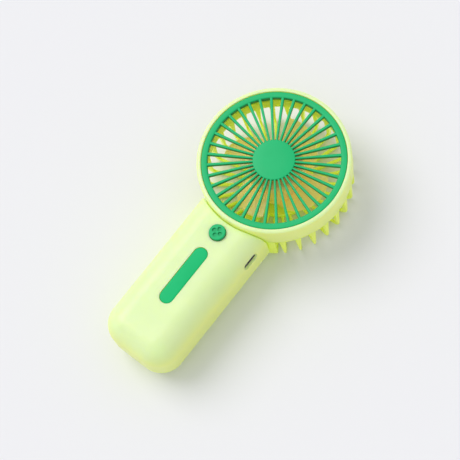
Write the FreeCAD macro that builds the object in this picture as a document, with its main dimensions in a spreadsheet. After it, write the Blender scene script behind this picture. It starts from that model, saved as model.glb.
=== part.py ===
"""Handheld electric fan: a round caged head on a flat battery handle, lying on its back.

The Z axis is the fan's own spinning axis, with z = 0 on the flat back of the head's hub.
The handle runs from the head towards -Y, and the air leaves the head towards +Z.
Lengths are in millimetres and angles in degrees.
"""
import FreeCAD, Part
import math
import operator
import os
import Sketcher
from FreeCAD import Placement, Rotation, Vector

os.makedirs("parts", exist_ok=True)
doc = FreeCAD.newDocument("hand_fan")
sheet = doc.addObject("Spreadsheet::Sheet", "sizes")


# ---------------------------------------------------------------- sizes and formulas

OPERATIONS = {"+": operator.add, "-": operator.sub, "*": operator.mul, "/": operator.truediv}


class Size:
    """A number together with the formula that works it out from the sheet's cells."""

    def __init__(self, number, formula):
        self.number = float(number)
        self.formula = formula

    def __add__(self, other):
        return combine(self, "+", other)

    def __radd__(self, other):
        return combine(other, "+", self)

    def __sub__(self, other):
        return combine(self, "-", other)

    def __rsub__(self, other):
        return combine(other, "-", self)

    def __mul__(self, other):
        return combine(self, "*", other)

    def __rmul__(self, other):
        return combine(other, "*", self)

    def __truediv__(self, other):
        return combine(self, "/", other)

    def __neg__(self):
        return combine(0, "-", self)


def as_size(value):
    """The value itself if it is a Size, else a constant as one."""
    if isinstance(value, Size):
        return value
    return Size(value, "%.6f" % value)


def combine(left, sign, right):
    """A Size worked out from two others, keeping both the number and the formula."""
    left = as_size(left)
    right = as_size(right)
    number = OPERATIONS[sign](left.number, right.number)
    return Size(number, "(%s %s %s)" % (left.formula, sign, right.formula))


def cell(name, value):
    """One driving dimension: a cell of the sheet with the name as its alias."""
    cell.row += 1
    address = "A%d" % cell.row
    sheet.set(address, str(value))
    sheet.setAlias(address, name)
    return Size(value, "sizes." + name)


cell.row = 0

# The head and its front ring
head_radius = cell("head_radius", 39.2)
head_depth = cell("head_depth", 37.5)
ring_depth = cell("ring_depth", 14.0)
ring_wall = cell("ring_wall", 2.2)
lip_round = cell("lip_round", 1.3)
seam = cell("seam", 0.15)  # gap at each visible seam
ledge_width = cell("ledge_width", 1.8)
ledge_thick = cell("ledge_thick", 1.5)
snap_depth = cell("snap_depth", 0.5)
snap_height = cell("snap_height", 1.2)

# The front grille
grille_drop = cell("grille_drop", 0.3)  # how far the grille sits below the ring's lip
grille_thick = cell("grille_thick", 3.0)
grille_band = cell("grille_band", 3.2)
spoke_root = cell("spoke_root", 1.0)
spoke_tip = cell("spoke_tip", 1.5)
spoke_height = cell("spoke_height", 2.2)
disc_radius = cell("disc_radius", 10.85)
disc_thick = cell("disc_thick", 1.8)
clip_width = cell("clip_width", 4.4)
clip_wall = cell("clip_wall", 1.1)
clip_reach = cell("clip_reach", 4.0)

# The rear guard
guard_step = cell("guard_step", 0.4)  # how far the guard sits inside the front ring
guard_wall = cell("guard_wall", 2.6)
shoulder = cell("shoulder", 2.2)  # band between the fins and the front ring
spigot_wall = cell("spigot_wall", 1.5)
spigot_room = cell("spigot_room", 8.5)  # from the top of the spigot to the ring's front
fin_rim = cell("fin_rim", 3.2)  # width of a fin at the shoulder
fin_back = cell("fin_back", 1.3)  # width of a fin at the back
fin_bend = cell("fin_bend", 5.0)
hub_radius = cell("hub_radius", 18.0)
hub_floor = cell("hub_floor", 4.0)
cap_radius = cell("cap_radius", 12.8)
cap_thick = cell("cap_thick", 1.0)

# The neck that joins the head to the handle, and the channel for the motor leads
neck_width = cell("neck_width", 24.0)
neck_low = cell("neck_low", 4.5)
neck_high = cell("neck_high", 19.5)
neck_flange = cell("neck_flange", 1.6)
channel_width = cell("channel_width", 4.0)
channel_wall = cell("channel_wall", 1.0)
channel_high = cell("channel_high", 8.6)
cover_thick = cell("cover_thick", 0.8)

# The handle
handle_length = cell("handle_length", 79.8)  # from the hollow of its top end to its foot
handle_width = cell("handle_width", 41.6)
handle_thick = cell("handle_thick", 33.5)
handle_corner = cell("handle_corner", 12.6)
front_round = cell("front_round", 11.5)
back_round = cell("back_round", 11.8)
top_round = cell("top_round", 0.8)
handle_gap = cell("handle_gap", 0.3)  # between the handle's hollow end and the head
wall = cell("wall", 1.8)
split = cell("split", 15.0)  # height of the parting line between the two shells

# The motor
shaft_radius = cell("shaft_radius", 1.5)
running_gap = cell("running_gap", 0.03)
bush_wall = cell("bush_wall", 2.0)
bush_height = cell("bush_height", 3.0)
tube_wall = cell("tube_wall", 0.9)
base_radius = cell("base_radius", 12.0)
base_thick = cell("base_thick", 1.8)
can_radius = cell("can_radius", 13.0)
can_wall = cell("can_wall", 0.8)
can_height = cell("can_height", 14.1)
can_lift = cell("can_lift", 6.3)  # from the motor seat to the can's open end
magnet_wall = cell("magnet_wall", 0.9)
air_gap = cell("air_gap", 0.4)
stack_height = cell("stack_height", 8.0)
board_radius = cell("board_radius", 11.8)

# The impeller
impeller_wall = cell("impeller_wall", 1.5)
impeller_height = cell("impeller_height", 20.0)
blade_radius = cell("blade_radius", 28.5)
blade_thick = cell("blade_thick", 1.2)
blade_low = cell("blade_low", 12.4)
blade_high = cell("blade_high", 27.0)

# The controls and the electronics, placed by their distance from the handle's hollow end
button_from_end = cell("button_from_end", 6.9)
button_radius = cell("button_radius", 4.25)
button_proud = cell("button_proud", 1.6)
button_travel = cell("button_travel", 0.4)
button_flange = cell("button_flange", 0.6)
button_gap = cell("button_gap", 0.2)
icon_depth = cell("icon_depth", 0.7)
light_from_end = cell("light_from_end", 34.1)
light_length = cell("light_length", 34.0)
light_width = cell("light_width", 7.4)
light_flange = cell("light_flange", 1.2)
port_from_end = cell("port_from_end", 7.4)
port_width = cell("port_width", 8.94)
port_height = cell("port_height", 3.26)
port_length = cell("port_length", 7.3)
port_gap = cell("port_gap", 0.5)
board_top = cell("board_top", 23.1)
board_thick = cell("board_thick", 1.0)
shoulder_length = cell("shoulder_length", 13.6)  # the board's wide part
board_margin = cell("board_margin", 3.8)  # from the board's sides to the outside of the handle
board_narrow = cell("board_narrow", 20.0)
switch_side = cell("switch_side", 6.0)
switch_height = cell("switch_height", 3.5)
cell_radius = cell("cell_radius", 9.1)
pad_thick = cell("pad_thick", 0.8)
foot_room = cell("foot_room", 5.0)  # from the battery's end to the handle's foot wall
lead_room = cell("lead_room", 6.1)  # from the battery to the wall of the hollow end
lead_radius = cell("lead_radius", 0.55)

# Fasteners
screw_radius = cell("screw_radius", 1.0)
head_screw_radius = cell("head_screw_radius", 1.9)
screw_head = cell("screw_head", 1.2)
boss_radius = cell("boss_radius", 3.0)
board_screw_radius = cell("board_screw_radius", 0.8)

SPOKES = 36
CLIPS = 4
FINS = 30
WALL_ANGLE = 72  # the guard's solid wall spans this angle, in line with the handle
TEETH = 9
BLADES = 4
MOTOR_SCREWS = 3
TINY = 0.001  # how close two heights are to count as the same

# Places that follow from the sizes
guard_radius = head_radius - guard_step
ring_low = head_depth - ring_depth
ring_bore = head_radius - ring_wall
grille_radius = ring_bore - seam
grille_top = head_depth - grille_drop
grille_low = grille_top - grille_thick
ledge_low = grille_low - ledge_thick
shoulder_low = ring_low - shoulder
spigot_radius = ring_bore - seam
spigot_height = ring_depth - spigot_room
handle_bore = head_radius + handle_gap
motor_seat = hub_floor
bush_radius = shaft_radius + running_gap + bush_wall
tube_radius = bush_radius + tube_wall
can_low = motor_seat + can_lift
can_top = can_low + can_height
tube_top = can_top - can_wall - 0.2
stator_radius = can_radius - can_wall - magnet_wall - air_gap
stack_low = can_low + 1.6
impeller_low = can_low + 0.3
impeller_radius = can_radius + impeller_wall
impeller_top = impeller_low + impeller_height
handle_reach = handle_bore + handle_length
button_place = handle_bore + button_from_end
light_place = handle_bore + light_from_end
port_place = handle_bore + port_from_end
port_middle = board_top + port_height / 2
board_low = board_top - board_thick
board_wide = handle_width - 2 * board_margin
board_start = handle_bore + wall + 1.0
board_shoulder = board_start + shoulder_length
board_end = light_place + light_length / 2 + 1.3
inner_front = handle_thick - wall
screw_seat = split / 2
cell_middle_z = wall + pad_thick + cell_radius
cell_start = handle_bore + wall + lead_room
cell_end = handle_reach - wall - foot_room


# ---------------------------------------------------------------- building blocks

def bind(item, prop, value):
    """Tie one property of an object to the sheet."""
    item.setExpression(prop, as_size(value).formula)


def place(item, x=0, y=0, z=0):
    """Tie an object's position to the sheet."""
    bind(item, "Placement.Base.x", x)
    bind(item, "Placement.Base.y", y)
    bind(item, "Placement.Base.z", z)


def block(name, x, y, z):
    """A box between two values on each axis."""
    item = doc.addObject("Part::Box", name)
    bind(item, "Length", x[1] - x[0])
    bind(item, "Width", y[1] - y[0])
    bind(item, "Height", z[1] - z[0])
    place(item, x[0], y[0], z[0])
    return item


def rod(name, radius, z, at=(0, 0)):
    """An upright cylinder between two heights."""
    item = doc.addObject("Part::Cylinder", name)
    bind(item, "Radius", radius)
    bind(item, "Height", z[1] - z[0])
    place(item, at[0], at[1], z[0])
    return item


def rod_along_x(name, radius, x, at):
    """A cylinder along X, at a place (y, z)."""
    item = doc.addObject("Part::Cylinder", name)
    item.Placement = Placement(Vector(), Rotation(Vector(0, 1, 0), 90))
    bind(item, "Radius", radius)
    bind(item, "Height", x[1] - x[0])
    place(item, x[0], at[0], at[1])
    return item


def rod_along_y(name, radius, y, at):
    """A cylinder along Y, at a place (x, z)."""
    item = doc.addObject("Part::Cylinder", name)
    item.Placement = Placement(Vector(), Rotation(Vector(1, 0, 0), -90))
    bind(item, "Radius", radius)
    bind(item, "Height", y[1] - y[0])
    place(item, at[0], y[0], at[1])
    return item


def fuse(name, *items):
    """One solid joined from several."""
    item = doc.addObject("Part::MultiFuse", name)
    item.Shapes = list(items)
    item.Refine = True
    return item


def cut(name, base, *tools):
    """The base with every tool taken away."""
    for number, tool in enumerate(tools, 1):
        item = doc.addObject("Part::Cut", name if number == len(tools) else name + "_cut")
        item.Base = base
        item.Tool = tool
        base = item
    return item


def common(name, first, second):
    """What two solids share."""
    item = doc.addObject("Part::MultiCommon", name)
    item.Shapes = [first, second]
    return item


def group(name, items):
    """Separate solids of the same kind, kept in one node."""
    item = doc.addObject("Part::Compound", name)
    item.Links = list(items)
    return item


def turned_copies(name, item, angles):
    """Copies of a solid, turned about the Z axis to the given angles."""
    copies = []
    for angle in angles:
        copy = doc.addObject("App::Link", name + "_copy")
        copy.LinkedObject = item
        copy.LinkTransform = True
        copy.Placement = Placement(Vector(), Rotation(Vector(0, 0, 1), angle))
        copies.append(copy)
    return copies


def around(name, item, angles):
    """The same solid repeated about the Z axis at the given angles, joined as one."""
    return fuse(name, *turned_copies(name, item, angles))


def polar(radius, angle):
    """The place at a radius and an angle from +X about the Z axis."""
    return radius * math.cos(math.radians(angle)), radius * math.sin(math.radians(angle))


def spread(count, start=0.0):
    """Angles of count things evenly spaced about the axis."""
    return [start + 360.0 * number / count for number in range(count)]


def new_body(name, turn=0.0):
    """An empty body, turned about the Z axis."""
    body = doc.addObject("PartDesign::Body", name)
    body.Placement = Placement(Vector(), Rotation(Vector(0, 0, 1), turn))
    return body


def new_sketch(body, role, height=0):
    """A sketch on one of the body's own planes, lifted along the plane's normal."""
    plane = [part for part in body.Origin.OriginFeatures if part.Role == role][0]
    sketch = body.newObject("Sketcher::SketchObject", body.Name + "_sketch")
    sketch.AttachmentSupport = [(plane, "")]
    sketch.MapMode = "FlatFace"
    bind(sketch, "AttachmentOffset.Base.z", height)
    return sketch


def draw_outline(sketch, corners):
    """A closed outline of straight lines whose corners are tied to the sheet."""
    places = [(as_size(x), as_size(y)) for x, y in corners]
    points = [Vector(x.number, y.number, 0) for x, y in places]
    count = len(points)
    for index in range(count):
        line = Part.LineSegment(points[index], points[(index + 1) % count])
        sketch.addGeometry(line, False)
    for index in range(count):
        follow = (index + 1) % count
        sketch.addConstraint(Sketcher.Constraint("Coincident", index, 2, follow, 1))
    for index, (x, y) in enumerate(places):
        across = Sketcher.Constraint("DistanceX", -1, 1, index, 1, x.number)
        bind(sketch, "Constraints[%d]" % sketch.addConstraint(across), x)
        up = Sketcher.Constraint("DistanceY", -1, 1, index, 1, y.number)
        bind(sketch, "Constraints[%d]" % sketch.addConstraint(up), y)


def add_feature(body, kind, sketch):
    """A feature made from a sketch, as the body's newest one."""
    feature = body.newObject("PartDesign::" + kind, body.Name + "_" + kind.lower())
    feature.Profile = sketch
    body.Tip = feature
    return feature


def turned(name, corners, at=(0, 0), angle=360, turn=0.0):
    """A body of revolution about an upright axis, from (radius, height) corners."""
    body = new_body(name, turn)
    sketch = new_sketch(body, "XZ_Plane")
    draw_outline(sketch, corners)
    feature = add_feature(body, "Revolution", sketch)
    feature.ReferenceAxis = (sketch, ["V_Axis"])
    feature.Angle = angle
    feature.Midplane = angle < 360
    place(body, at[0], at[1])
    return body


def plate(name, corners, z):
    """A body of one outline, seen from above, between two heights."""
    body = new_body(name)
    sketch = new_sketch(body, "XY_Plane", z[0])
    draw_outline(sketch, corners)
    feature = add_feature(body, "Pad", sketch)
    bind(feature, "Length", z[1] - z[0])
    return body


def round_edges(body, radius, chosen):
    """Round the edges of the body that the test picks."""
    doc.recompute()
    base = body.Tip
    names = ["Edge%d" % (index + 1) for index, edge in enumerate(base.Shape.Edges) if chosen(edge)]
    feature = body.newObject("PartDesign::Fillet", body.Name + "_fillet")
    feature.Base = (base, names)
    bind(feature, "Radius", radius)
    body.Tip = feature


def lies_at(edge, height):
    """True when the whole edge is at one height."""
    box = edge.BoundBox
    return abs(box.ZMin - height) < TINY and abs(box.ZMax - height) < TINY


def stadium(name, length, width, z, y):
    """An upright prism with round ends, long along Y."""
    straight = (length - width) / 2
    middle = block(name + "_middle", (-width / 2, width / 2), (y - straight, y + straight), z)
    ends = [rod(name + "_end", width / 2, z, (0, y + side * straight)) for side in (-1, 1)]
    return fuse(name, middle, *ends)


def side_stadium(name, length, height, x, y, z):
    """A prism along X with round ends, long along Y."""
    straight = (length - height) / 2
    middle = block(name + "_middle", x, (y - straight, y + straight), (z - height / 2, z + height / 2))
    ends = [rod_along_x(name + "_end", height / 2, x, (y + side * straight, z)) for side in (-1, 1)]
    return fuse(name, middle, *ends)


nodes = []


def node(name, item):
    """Name a finished sub-part, which gives its file its name."""
    item.Label = name
    nodes.append(item)
    return item


# ---------------------------------------------------------------- the head

def make_head_ring():
    """The front ring: a round-lipped band with a ledge for the grille and two snap grooves."""
    clip_groove = ledge_low - snap_height - 0.8
    spigot_groove = ring_low + spigot_height / 2
    body = turned("head_ring_band", [
        (ring_bore, ring_low),
        (head_radius, ring_low),
        (head_radius, head_depth),
        (ring_bore, head_depth),
        (ring_bore, grille_low),
        (ring_bore - ledge_width, grille_low),
        (ring_bore - ledge_width, ledge_low),
        (ring_bore, ledge_low),
        (ring_bore, clip_groove + snap_height),
        (ring_bore + snap_depth, clip_groove + snap_height),
        (ring_bore + snap_depth, clip_groove),
        (ring_bore, clip_groove),
        (ring_bore, spigot_groove + snap_height),
        (ring_bore + snap_depth, spigot_groove + snap_height),
        (ring_bore + snap_depth, spigot_groove),
        (ring_bore, spigot_groove)])
    outer = head_radius.number - TINY
    round_edges(body, lip_round, lambda edge: (
        lies_at(edge, head_depth.number) and edge.BoundBox.XMax > outer))
    notch = block("ledge_notch", (ring_bore - ledge_width - 1, ring_bore),
                  (-clip_width / 2 - 0.3, clip_width / 2 + 0.3), (ledge_low - 0.5, grille_low + 0.5))
    notches = around("ledge_notches", notch, spread(CLIPS, 45))
    node("head_ring", cut("head_ring_part", body, notches))


def make_front_grille():
    """The grille: an outer band, a hub disc, tapering spokes and four snap clips."""
    band = turned("grille_band_part", [
        (grille_radius - grille_band, grille_low),
        (grille_radius, grille_low),
        (grille_radius, grille_top),
        (grille_radius - grille_band, grille_top)])
    round_edges(band, 0.5, lambda edge: lies_at(edge, grille_top.number))
    disc = turned("grille_disc", [
        (0, grille_top - disc_thick),
        (disc_radius, grille_top - disc_thick),
        (disc_radius, grille_top),
        (0, grille_top)])
    round_edges(disc, 0.5, lambda edge: lies_at(edge, grille_top.number))
    inner = disc_radius - 1
    outer = grille_radius - grille_band + 1
    spoke = plate("grille_spoke", [
        (inner, -spoke_root / 2),
        (outer, -spoke_tip / 2),
        (outer, spoke_tip / 2),
        (inner, spoke_root / 2)], (grille_top - 0.2 - spoke_height, grille_top - 0.2))
    round_edges(spoke, 0.3, lambda edge: (
        lies_at(edge, grille_top.number - 0.2) and edge.BoundBox.XLength > 1))
    arm_outer = grille_radius - 0.5
    nose = ledge_low - snap_height - 0.4
    clip = new_body("grille_clip")
    sketch = new_sketch(clip, "XZ_Plane")
    draw_outline(sketch, [
        (arm_outer - clip_wall, grille_low + 1),
        (arm_outer - clip_wall, grille_low - clip_reach),
        (arm_outer, grille_low - clip_reach),
        (ring_bore + snap_depth - 0.15, nose),
        (ring_bore + snap_depth - 0.15, nose + snap_height - 0.5),
        (arm_outer, nose + snap_height - 0.5),
        (arm_outer, grille_low + 1)])
    pad = add_feature(clip, "Pad", sketch)
    pad.Midplane = True
    bind(pad, "Length", clip_width)
    clips = around("grille_clips", clip, spread(CLIPS, 45))
    spokes = around("grille_spokes", spoke, spread(SPOKES))
    node("front_grille", fuse("front_grille_part", band, disc, spokes, clips))


def guard_profile():
    """The bent section of the guard in (radius, height): up the wall and in along the floor."""
    inner = guard_radius - guard_wall
    return [
        (guard_radius, 0),
        (guard_radius, shoulder_low + 0.5),
        (inner, shoulder_low + 0.5),
        (inner, guard_wall),
        (hub_radius - 1, guard_wall),
        (hub_radius - 1, 0)]


def bend_corner(body, reach):
    """Round the guard section's outer corner, and its inner one to match."""
    doc.recompute()
    outer = guard_radius.number
    inner = outer - guard_wall.number

    def at_corner(edge, radius, height):
        middle = edge.valueAt((edge.FirstParameter + edge.LastParameter) / 2)
        far = math.hypot(middle.x, middle.y)
        return abs(far - radius) < reach and abs(middle.z - height) < TINY and edge.Length > 1

    round_edges(body, fin_bend, lambda edge: at_corner(edge, outer, 0))
    round_edges(body, fin_bend - guard_wall, lambda edge: at_corner(edge, inner, guard_wall.number))


def make_fin():
    """One fin of the guard: the bent section, narrowing from the shoulder to the back."""
    blank = new_body("fin_blank")
    sketch = new_sketch(blank, "XZ_Plane")
    draw_outline(sketch, guard_profile())
    pad = add_feature(blank, "Pad", sketch)
    pad.Midplane = True
    bind(pad, "Length", fin_rim)
    bend_corner(blank, TINY)
    taper = new_body("fin_taper")
    sketch = new_sketch(taper, "YZ_Plane")
    draw_outline(sketch, [
        (-fin_back / 2, -1),
        (fin_back / 2, -1),
        (fin_back / 2, fin_bend),
        (fin_rim / 2, shoulder_low),
        (fin_rim / 2, shoulder_low + 1),
        (-fin_rim / 2, shoulder_low + 1),
        (-fin_rim / 2, shoulder_low),
        (-fin_back / 2, fin_bend)])
    pad = add_feature(taper, "Pad", sketch)
    bind(pad, "Length", guard_radius + 1)
    return common("guard_fin", blank, taper)


def make_rear_guard():
    """The guard: fins round the back, a solid wall by the handle, the motor's seat and the neck."""
    fins = around("guard_fins", make_fin(), spread(FINS, -90 + 180.0 / FINS))
    wall_part = turned("guard_wall_part", guard_profile()[:4] + [
        (guard_radius - fin_bend - 3, guard_wall),
        (guard_radius - fin_bend - 3, 0)], angle=WALL_ANGLE, turn=-90)
    bend_corner(wall_part, TINY)
    rim = turned("guard_rim", [
        (spigot_radius - spigot_wall, shoulder_low),
        (guard_radius, shoulder_low),
        (guard_radius, ring_low),
        (spigot_radius, ring_low),
        (spigot_radius, ring_low + spigot_height),
        (spigot_radius - spigot_wall, ring_low + spigot_height)])
    groove = ring_low + spigot_height / 2
    bump = block("spigot_bump", (spigot_radius - 0.6, ring_bore + snap_depth - 0.2), (-2.5, 2.5),
                 (groove + 0.15, groove + snap_height - 0.15))
    bumps = around("spigot_bumps", bump, spread(CLIPS))
    hub = turned("guard_hub", [
        (0, 0), (hub_radius, 0), (hub_radius, hub_floor), (0, hub_floor)])
    neck_in = guard_radius - guard_wall / 2
    neck_out = handle_bore + wall + 0.3
    neck = block("neck_tongue", (-neck_width / 2, neck_width / 2), (-neck_out - neck_flange, -neck_in),
                 (neck_low, neck_high))
    flange = block("neck_flange", (-neck_width / 2 - 1.5, neck_width / 2 + 1.5),
                   (-neck_out - neck_flange, -neck_out), (neck_low - 1.5, neck_high + 1.5))
    half = channel_width / 2 + channel_wall
    channel = block("lead_channel", (-half, half), (-neck_in, -hub_radius + 1),
                    (0, channel_high))
    solid = fuse("rear_guard_solid", fins, wall_part, rim, bumps, hub, neck, flange, channel)
    trough = block("lead_trough", (-channel_width / 2, channel_width / 2),
                   (-guard_radius + guard_wall, -hub_radius + 2), (hub_floor, channel_high + 1))
    lead_hole = block("lead_hole", (-channel_width / 2, channel_width / 2),
                      (-neck_out - neck_flange - 1, -guard_radius + guard_wall + 1),
                      (neck_low + 1, channel_high))
    recess = rod("cap_recess", cap_radius + seam, (-1, cap_thick + 0.2))
    tools = [trough, lead_hole, recess]
    for angle in spread(MOTOR_SCREWS, 90):
        at = polar(base_radius - 3, angle)
        tools.append(rod("screw_head_hole", head_screw_radius + 0.2, (0, hub_floor - 1.4), at))
        tools.append(rod("screw_hole", screw_radius + 0.1, (0, hub_floor + 1), at))
    node("rear_guard", cut("rear_guard_part", solid, fuse("rear_guard_tools", *tools)))


def make_guard_trim():
    """The round cap over the motor screws, and the cover over the lead channel."""
    cap = turned("rear_cap_part", [(0, 0), (cap_radius, 0), (cap_radius, cap_thick), (0, cap_thick)])
    node("rear_cap", cap)
    half = channel_width / 2 + channel_wall
    cover = block("lead_cover_part", (-half, half), (-guard_radius + guard_wall + 0.3, -hub_radius),
                  (channel_high, channel_high + cover_thick))
    node("lead_channel_cover", cover)


# ---------------------------------------------------------------- the motor and the impeller

def screw(name, head_low, head_high, tip, at, shank=screw_radius, head=head_screw_radius):
    """A pan-head screw pointing up, with a cross slot in its head."""
    body = fuse(name + "_body", rod(name + "_head", head, (head_low, head_high), at),
                rod(name + "_shank", shank, (head_high, tip), at))
    slots = []
    for long_x, long_y in ((head * 0.6, head * 0.16), (head * 0.16, head * 0.6)):
        slots.append(block(name + "_slot", (at[0] - long_x, at[0] + long_x),
                           (at[1] - long_y, at[1] + long_y), (head_low - 0.1, head_low + 0.5)))
    return cut(name, body, *slots)


def make_motor_base():
    """The motor's fixed parts: base with its bearing tube, two bushes, board and screws."""
    bore = bush_radius
    base = turned("motor_base_part", [
        (0, motor_seat),
        (base_radius, motor_seat),
        (base_radius, motor_seat + base_thick),
        (tube_radius, motor_seat + base_thick),
        (tube_radius, tube_top),
        (bore, tube_top),
        (bore, motor_seat + 0.4),
        (0, motor_seat + 0.4)])
    places = [polar(base_radius - 3, angle) for angle in spread(MOTOR_SCREWS, 90)]
    holes = [rod("base_hole", screw_radius, (motor_seat - 1, motor_seat + base_thick + 1), at)
             for at in places]
    node("motor_base", cut("motor_base_bored", base, *holes))
    low = motor_seat + 2.4
    for name, start in (("lower_bush", low), ("upper_bush", tube_top - bush_height)):
        node(name, turned(name + "_part", [
            (shaft_radius + running_gap, start),
            (bush_radius, start),
            (bush_radius, start + bush_height),
            (shaft_radius + running_gap, start + bush_height)]))
    board = turned("motor_board_part", [
        (tube_radius, motor_seat + base_thick + 1.0),
        (board_radius, motor_seat + base_thick + 1.0),
        (board_radius, motor_seat + base_thick + 2.0),
        (tube_radius, motor_seat + base_thick + 2.0)])
    node("motor_board", board)
    screws = [screw("motor_screw", hub_floor - 2.6, hub_floor - 1.4, hub_floor + base_thick - 0.2, at)
              for at in places]
    node("motor_screws", group("motor_screws_group", screws))


def make_stator():
    """The laminated stator with its nine teeth, and a coil round each tooth."""
    z = (stack_low, stack_low + stack_height)
    root = tube_radius + 1.8
    tip = stator_radius - 1.3
    core = turned("stator_core", [
        (tube_radius, z[0]), (root, z[0]), (root, z[1]), (tube_radius, z[1])])
    rim = turned("stator_rim", [
        (tip, z[0]), (stator_radius, z[0]), (stator_radius, z[1]), (tip, z[1])])
    slots = around("stator_slots", block("stator_slot", (tip - 1, stator_radius + 1), (-0.7, 0.7),
                                         (z[0] - 1, z[1] + 1)), spread(TEETH, 180.0 / TEETH))
    tooth = block("stator_tooth", (root - 0.6, tip + 0.3), (-0.8, 0.8), z)
    teeth = around("stator_teeth", tooth, spread(TEETH))
    node("motor_stator", fuse("stator_part", core, teeth, cut("stator_shoes", rim, slots)))
    outer = block("coil_outer", (root + 0.1, tip - 0.3), (-1.45, 1.45), (z[0] - 1.1, z[1] + 1.1))
    inner = block("coil_inner", (root - 1, tip + 1), (-0.8, 0.8), z)
    coils = turned_copies("coil", cut("coil", outer, inner), spread(TEETH))
    node("motor_coils", group("coils_group", coils))


def make_rotor():
    """What spins inside the impeller: the shaft, its clip, the can and the ring magnet."""
    shaft = rod("shaft_part", shaft_radius, (motor_seat + 0.7, can_top + 3.8))
    clip_low = motor_seat + 1.6
    clip = turned("clip_part", [
        (shaft_radius, clip_low),
        (shaft_radius + 1.1, clip_low),
        (shaft_radius + 1.1, clip_low + 0.5),
        (shaft_radius, clip_low + 0.5)])
    node("motor_shaft", shaft)
    node("shaft_clip", clip)
    can = turned("can_part", [
        (can_radius - can_wall, can_low),
        (can_radius, can_low),
        (can_radius, can_top),
        (shaft_radius, can_top),
        (shaft_radius, can_top - can_wall),
        (can_radius - can_wall, can_top - can_wall)])
    node("rotor_can", can)
    magnet = turned("magnet_part", [
        (can_radius - can_wall - magnet_wall, stack_low - 0.5),
        (can_radius - can_wall, stack_low - 0.5),
        (can_radius - can_wall, stack_low + stack_height + 0.5),
        (can_radius - can_wall - magnet_wall, stack_low + stack_height + 0.5)])
    node("magnet_ring", magnet)


# A blade is swept round the axis through radial sections: the share of the blade's
# angle, of its rise and of its tip radius at each, from the low leading edge to the high one.
BLADE_ANGLE = 74.0
BLADE_START = 40.0
BLADE_SECTIONS = ((0.00, 0.00, 0.62), (0.12, 0.12, 0.75), (0.25, 0.25, 0.85), (0.40, 0.40, 0.93),
                  (0.60, 0.60, 0.98), (0.80, 0.80, 0.99), (1.00, 1.00, 0.96))


def make_blade():
    """One impeller blade, a thin ramp lofted through its radial sections."""
    sections = []
    for share, rise, reach in BLADE_SECTIONS:
        sketch = doc.addObject("Sketcher::SketchObject", "blade_section")
        turn = Rotation(Vector(0, 0, 1), BLADE_START + share * BLADE_ANGLE)
        sketch.Placement = Placement(Vector(), turn.multiply(Rotation(Vector(1, 0, 0), 90)))
        middle = blade_low + (blade_high - blade_low) * rise
        draw_outline(sketch, [
            (impeller_radius - 0.7, middle - blade_thick / 2),
            (blade_radius * reach, middle - blade_thick * 0.3),
            (blade_radius * reach, middle + blade_thick * 0.3),
            (impeller_radius - 0.7, middle + blade_thick / 2)])
        sections.append(sketch)
    blade = doc.addObject("Part::Loft", "blade")
    blade.Sections = sections
    blade.Solid = True
    blade.Ruled = False
    return blade


def make_impeller():
    """The impeller: a hub cup pressed over the rotor can, with four broad blades."""
    floor = impeller_top - 1.8
    hub = turned("impeller_hub", [
        (can_radius, impeller_low),
        (impeller_radius, impeller_low),
        (impeller_radius, impeller_top),
        (0, impeller_top),
        (0, can_top + 3.8),
        (shaft_radius, can_top + 3.8),
        (shaft_radius, can_top),
        (shaft_radius + 3, can_top),
        (shaft_radius + 3, floor),
        (can_radius, floor)])
    round_edges(hub, 1.2, lambda edge: (
        lies_at(edge, impeller_top.number) and edge.BoundBox.XMax > can_radius.number))
    blades = around("impeller_blades", make_blade(), spread(BLADES))
    node("impeller", fuse("impeller_part", hub, blades))


# ---------------------------------------------------------------- the handle's shells

boss_near = boss_radius + 0.2  # from the board's shoulder to the edge of the nearest boss
top_boss = (handle_width / 2 - wall - boss_radius - 1.4, -board_shoulder - boss_near - 0.8)
foot_boss = (handle_width / 2 - wall - boss_radius - 3.0, -handle_reach + wall + 7.5)
HANDLE_BOSSES = [(side * at[0], at[1]) for at in (top_boss, foot_boss) for side in (-1, 1)]
BOARD_BOSSES = [(-board_wide / 2 + 3.6, -board_start - 2.8),
                (board_wide / 2 - 3.0, -board_shoulder + 2.0),
                (-board_narrow / 2 + 2.6, -board_end + 2.6),
                (board_narrow / 2 - 2.6, -board_end + 2.6)]


def handle_half(name, inset, low, high, edge_radius, face, bore):
    """A solid half of the handle, shrunk by inset, rounded at its face and hollow at its end."""
    half = handle_width / 2 - inset
    foot = inset - handle_reach
    top = -head_radius / 2
    body = plate(name, [(-half, foot), (half, foot), (half, top), (-half, top)], (low, high))
    round_edges(body, handle_corner - inset, lambda edge: (
        edge.BoundBox.ZLength > 1 and edge.BoundBox.YMax < foot.number + TINY))
    round_edges(body, edge_radius, lambda edge: (
        lies_at(edge, face.number) and edge.BoundBox.YMin < top.number - TINY))
    hollow = body.newObject("PartDesign::SubtractiveCylinder", name + "_hollow_end")
    bind(hollow, "Radius", bore)
    bind(hollow, "Height", handle_thick + 2)
    hollow.Placement = Placement(Vector(0, 0, -1), Rotation())
    body.Tip = hollow
    return body


def on_hollow_end(edge):
    """True for an edge of the hollow end that isn't at the parting line."""
    ends = [edge.valueAt(edge.FirstParameter), edge.valueAt(edge.LastParameter)]
    middle = edge.valueAt((edge.FirstParameter + edge.LastParameter) / 2)
    on_bore = all(abs(math.hypot(at.x, at.y) - handle_bore.number) < 0.01 for at in ends + [middle])
    return on_bore and not lies_at(edge, split.number)


def handle_shell(name, low, high, edge_radius, front):
    """A hollow half of the handle, with a concave end that hugs the head."""
    face = high if front else low
    inner_face = face - wall if front else face + wall
    inner_span = (low - 1, inner_face) if front else (inner_face, high + 1)
    outer = handle_half(name + "_outer", as_size(0), low, high, edge_radius, face, handle_bore)
    round_edges(outer, top_round, on_hollow_end)
    core = handle_half(name + "_core", wall, inner_span[0], inner_span[1], edge_radius - wall,
                       inner_face, handle_bore + wall)
    return cut(name + "_shell", outer, core), core


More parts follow.
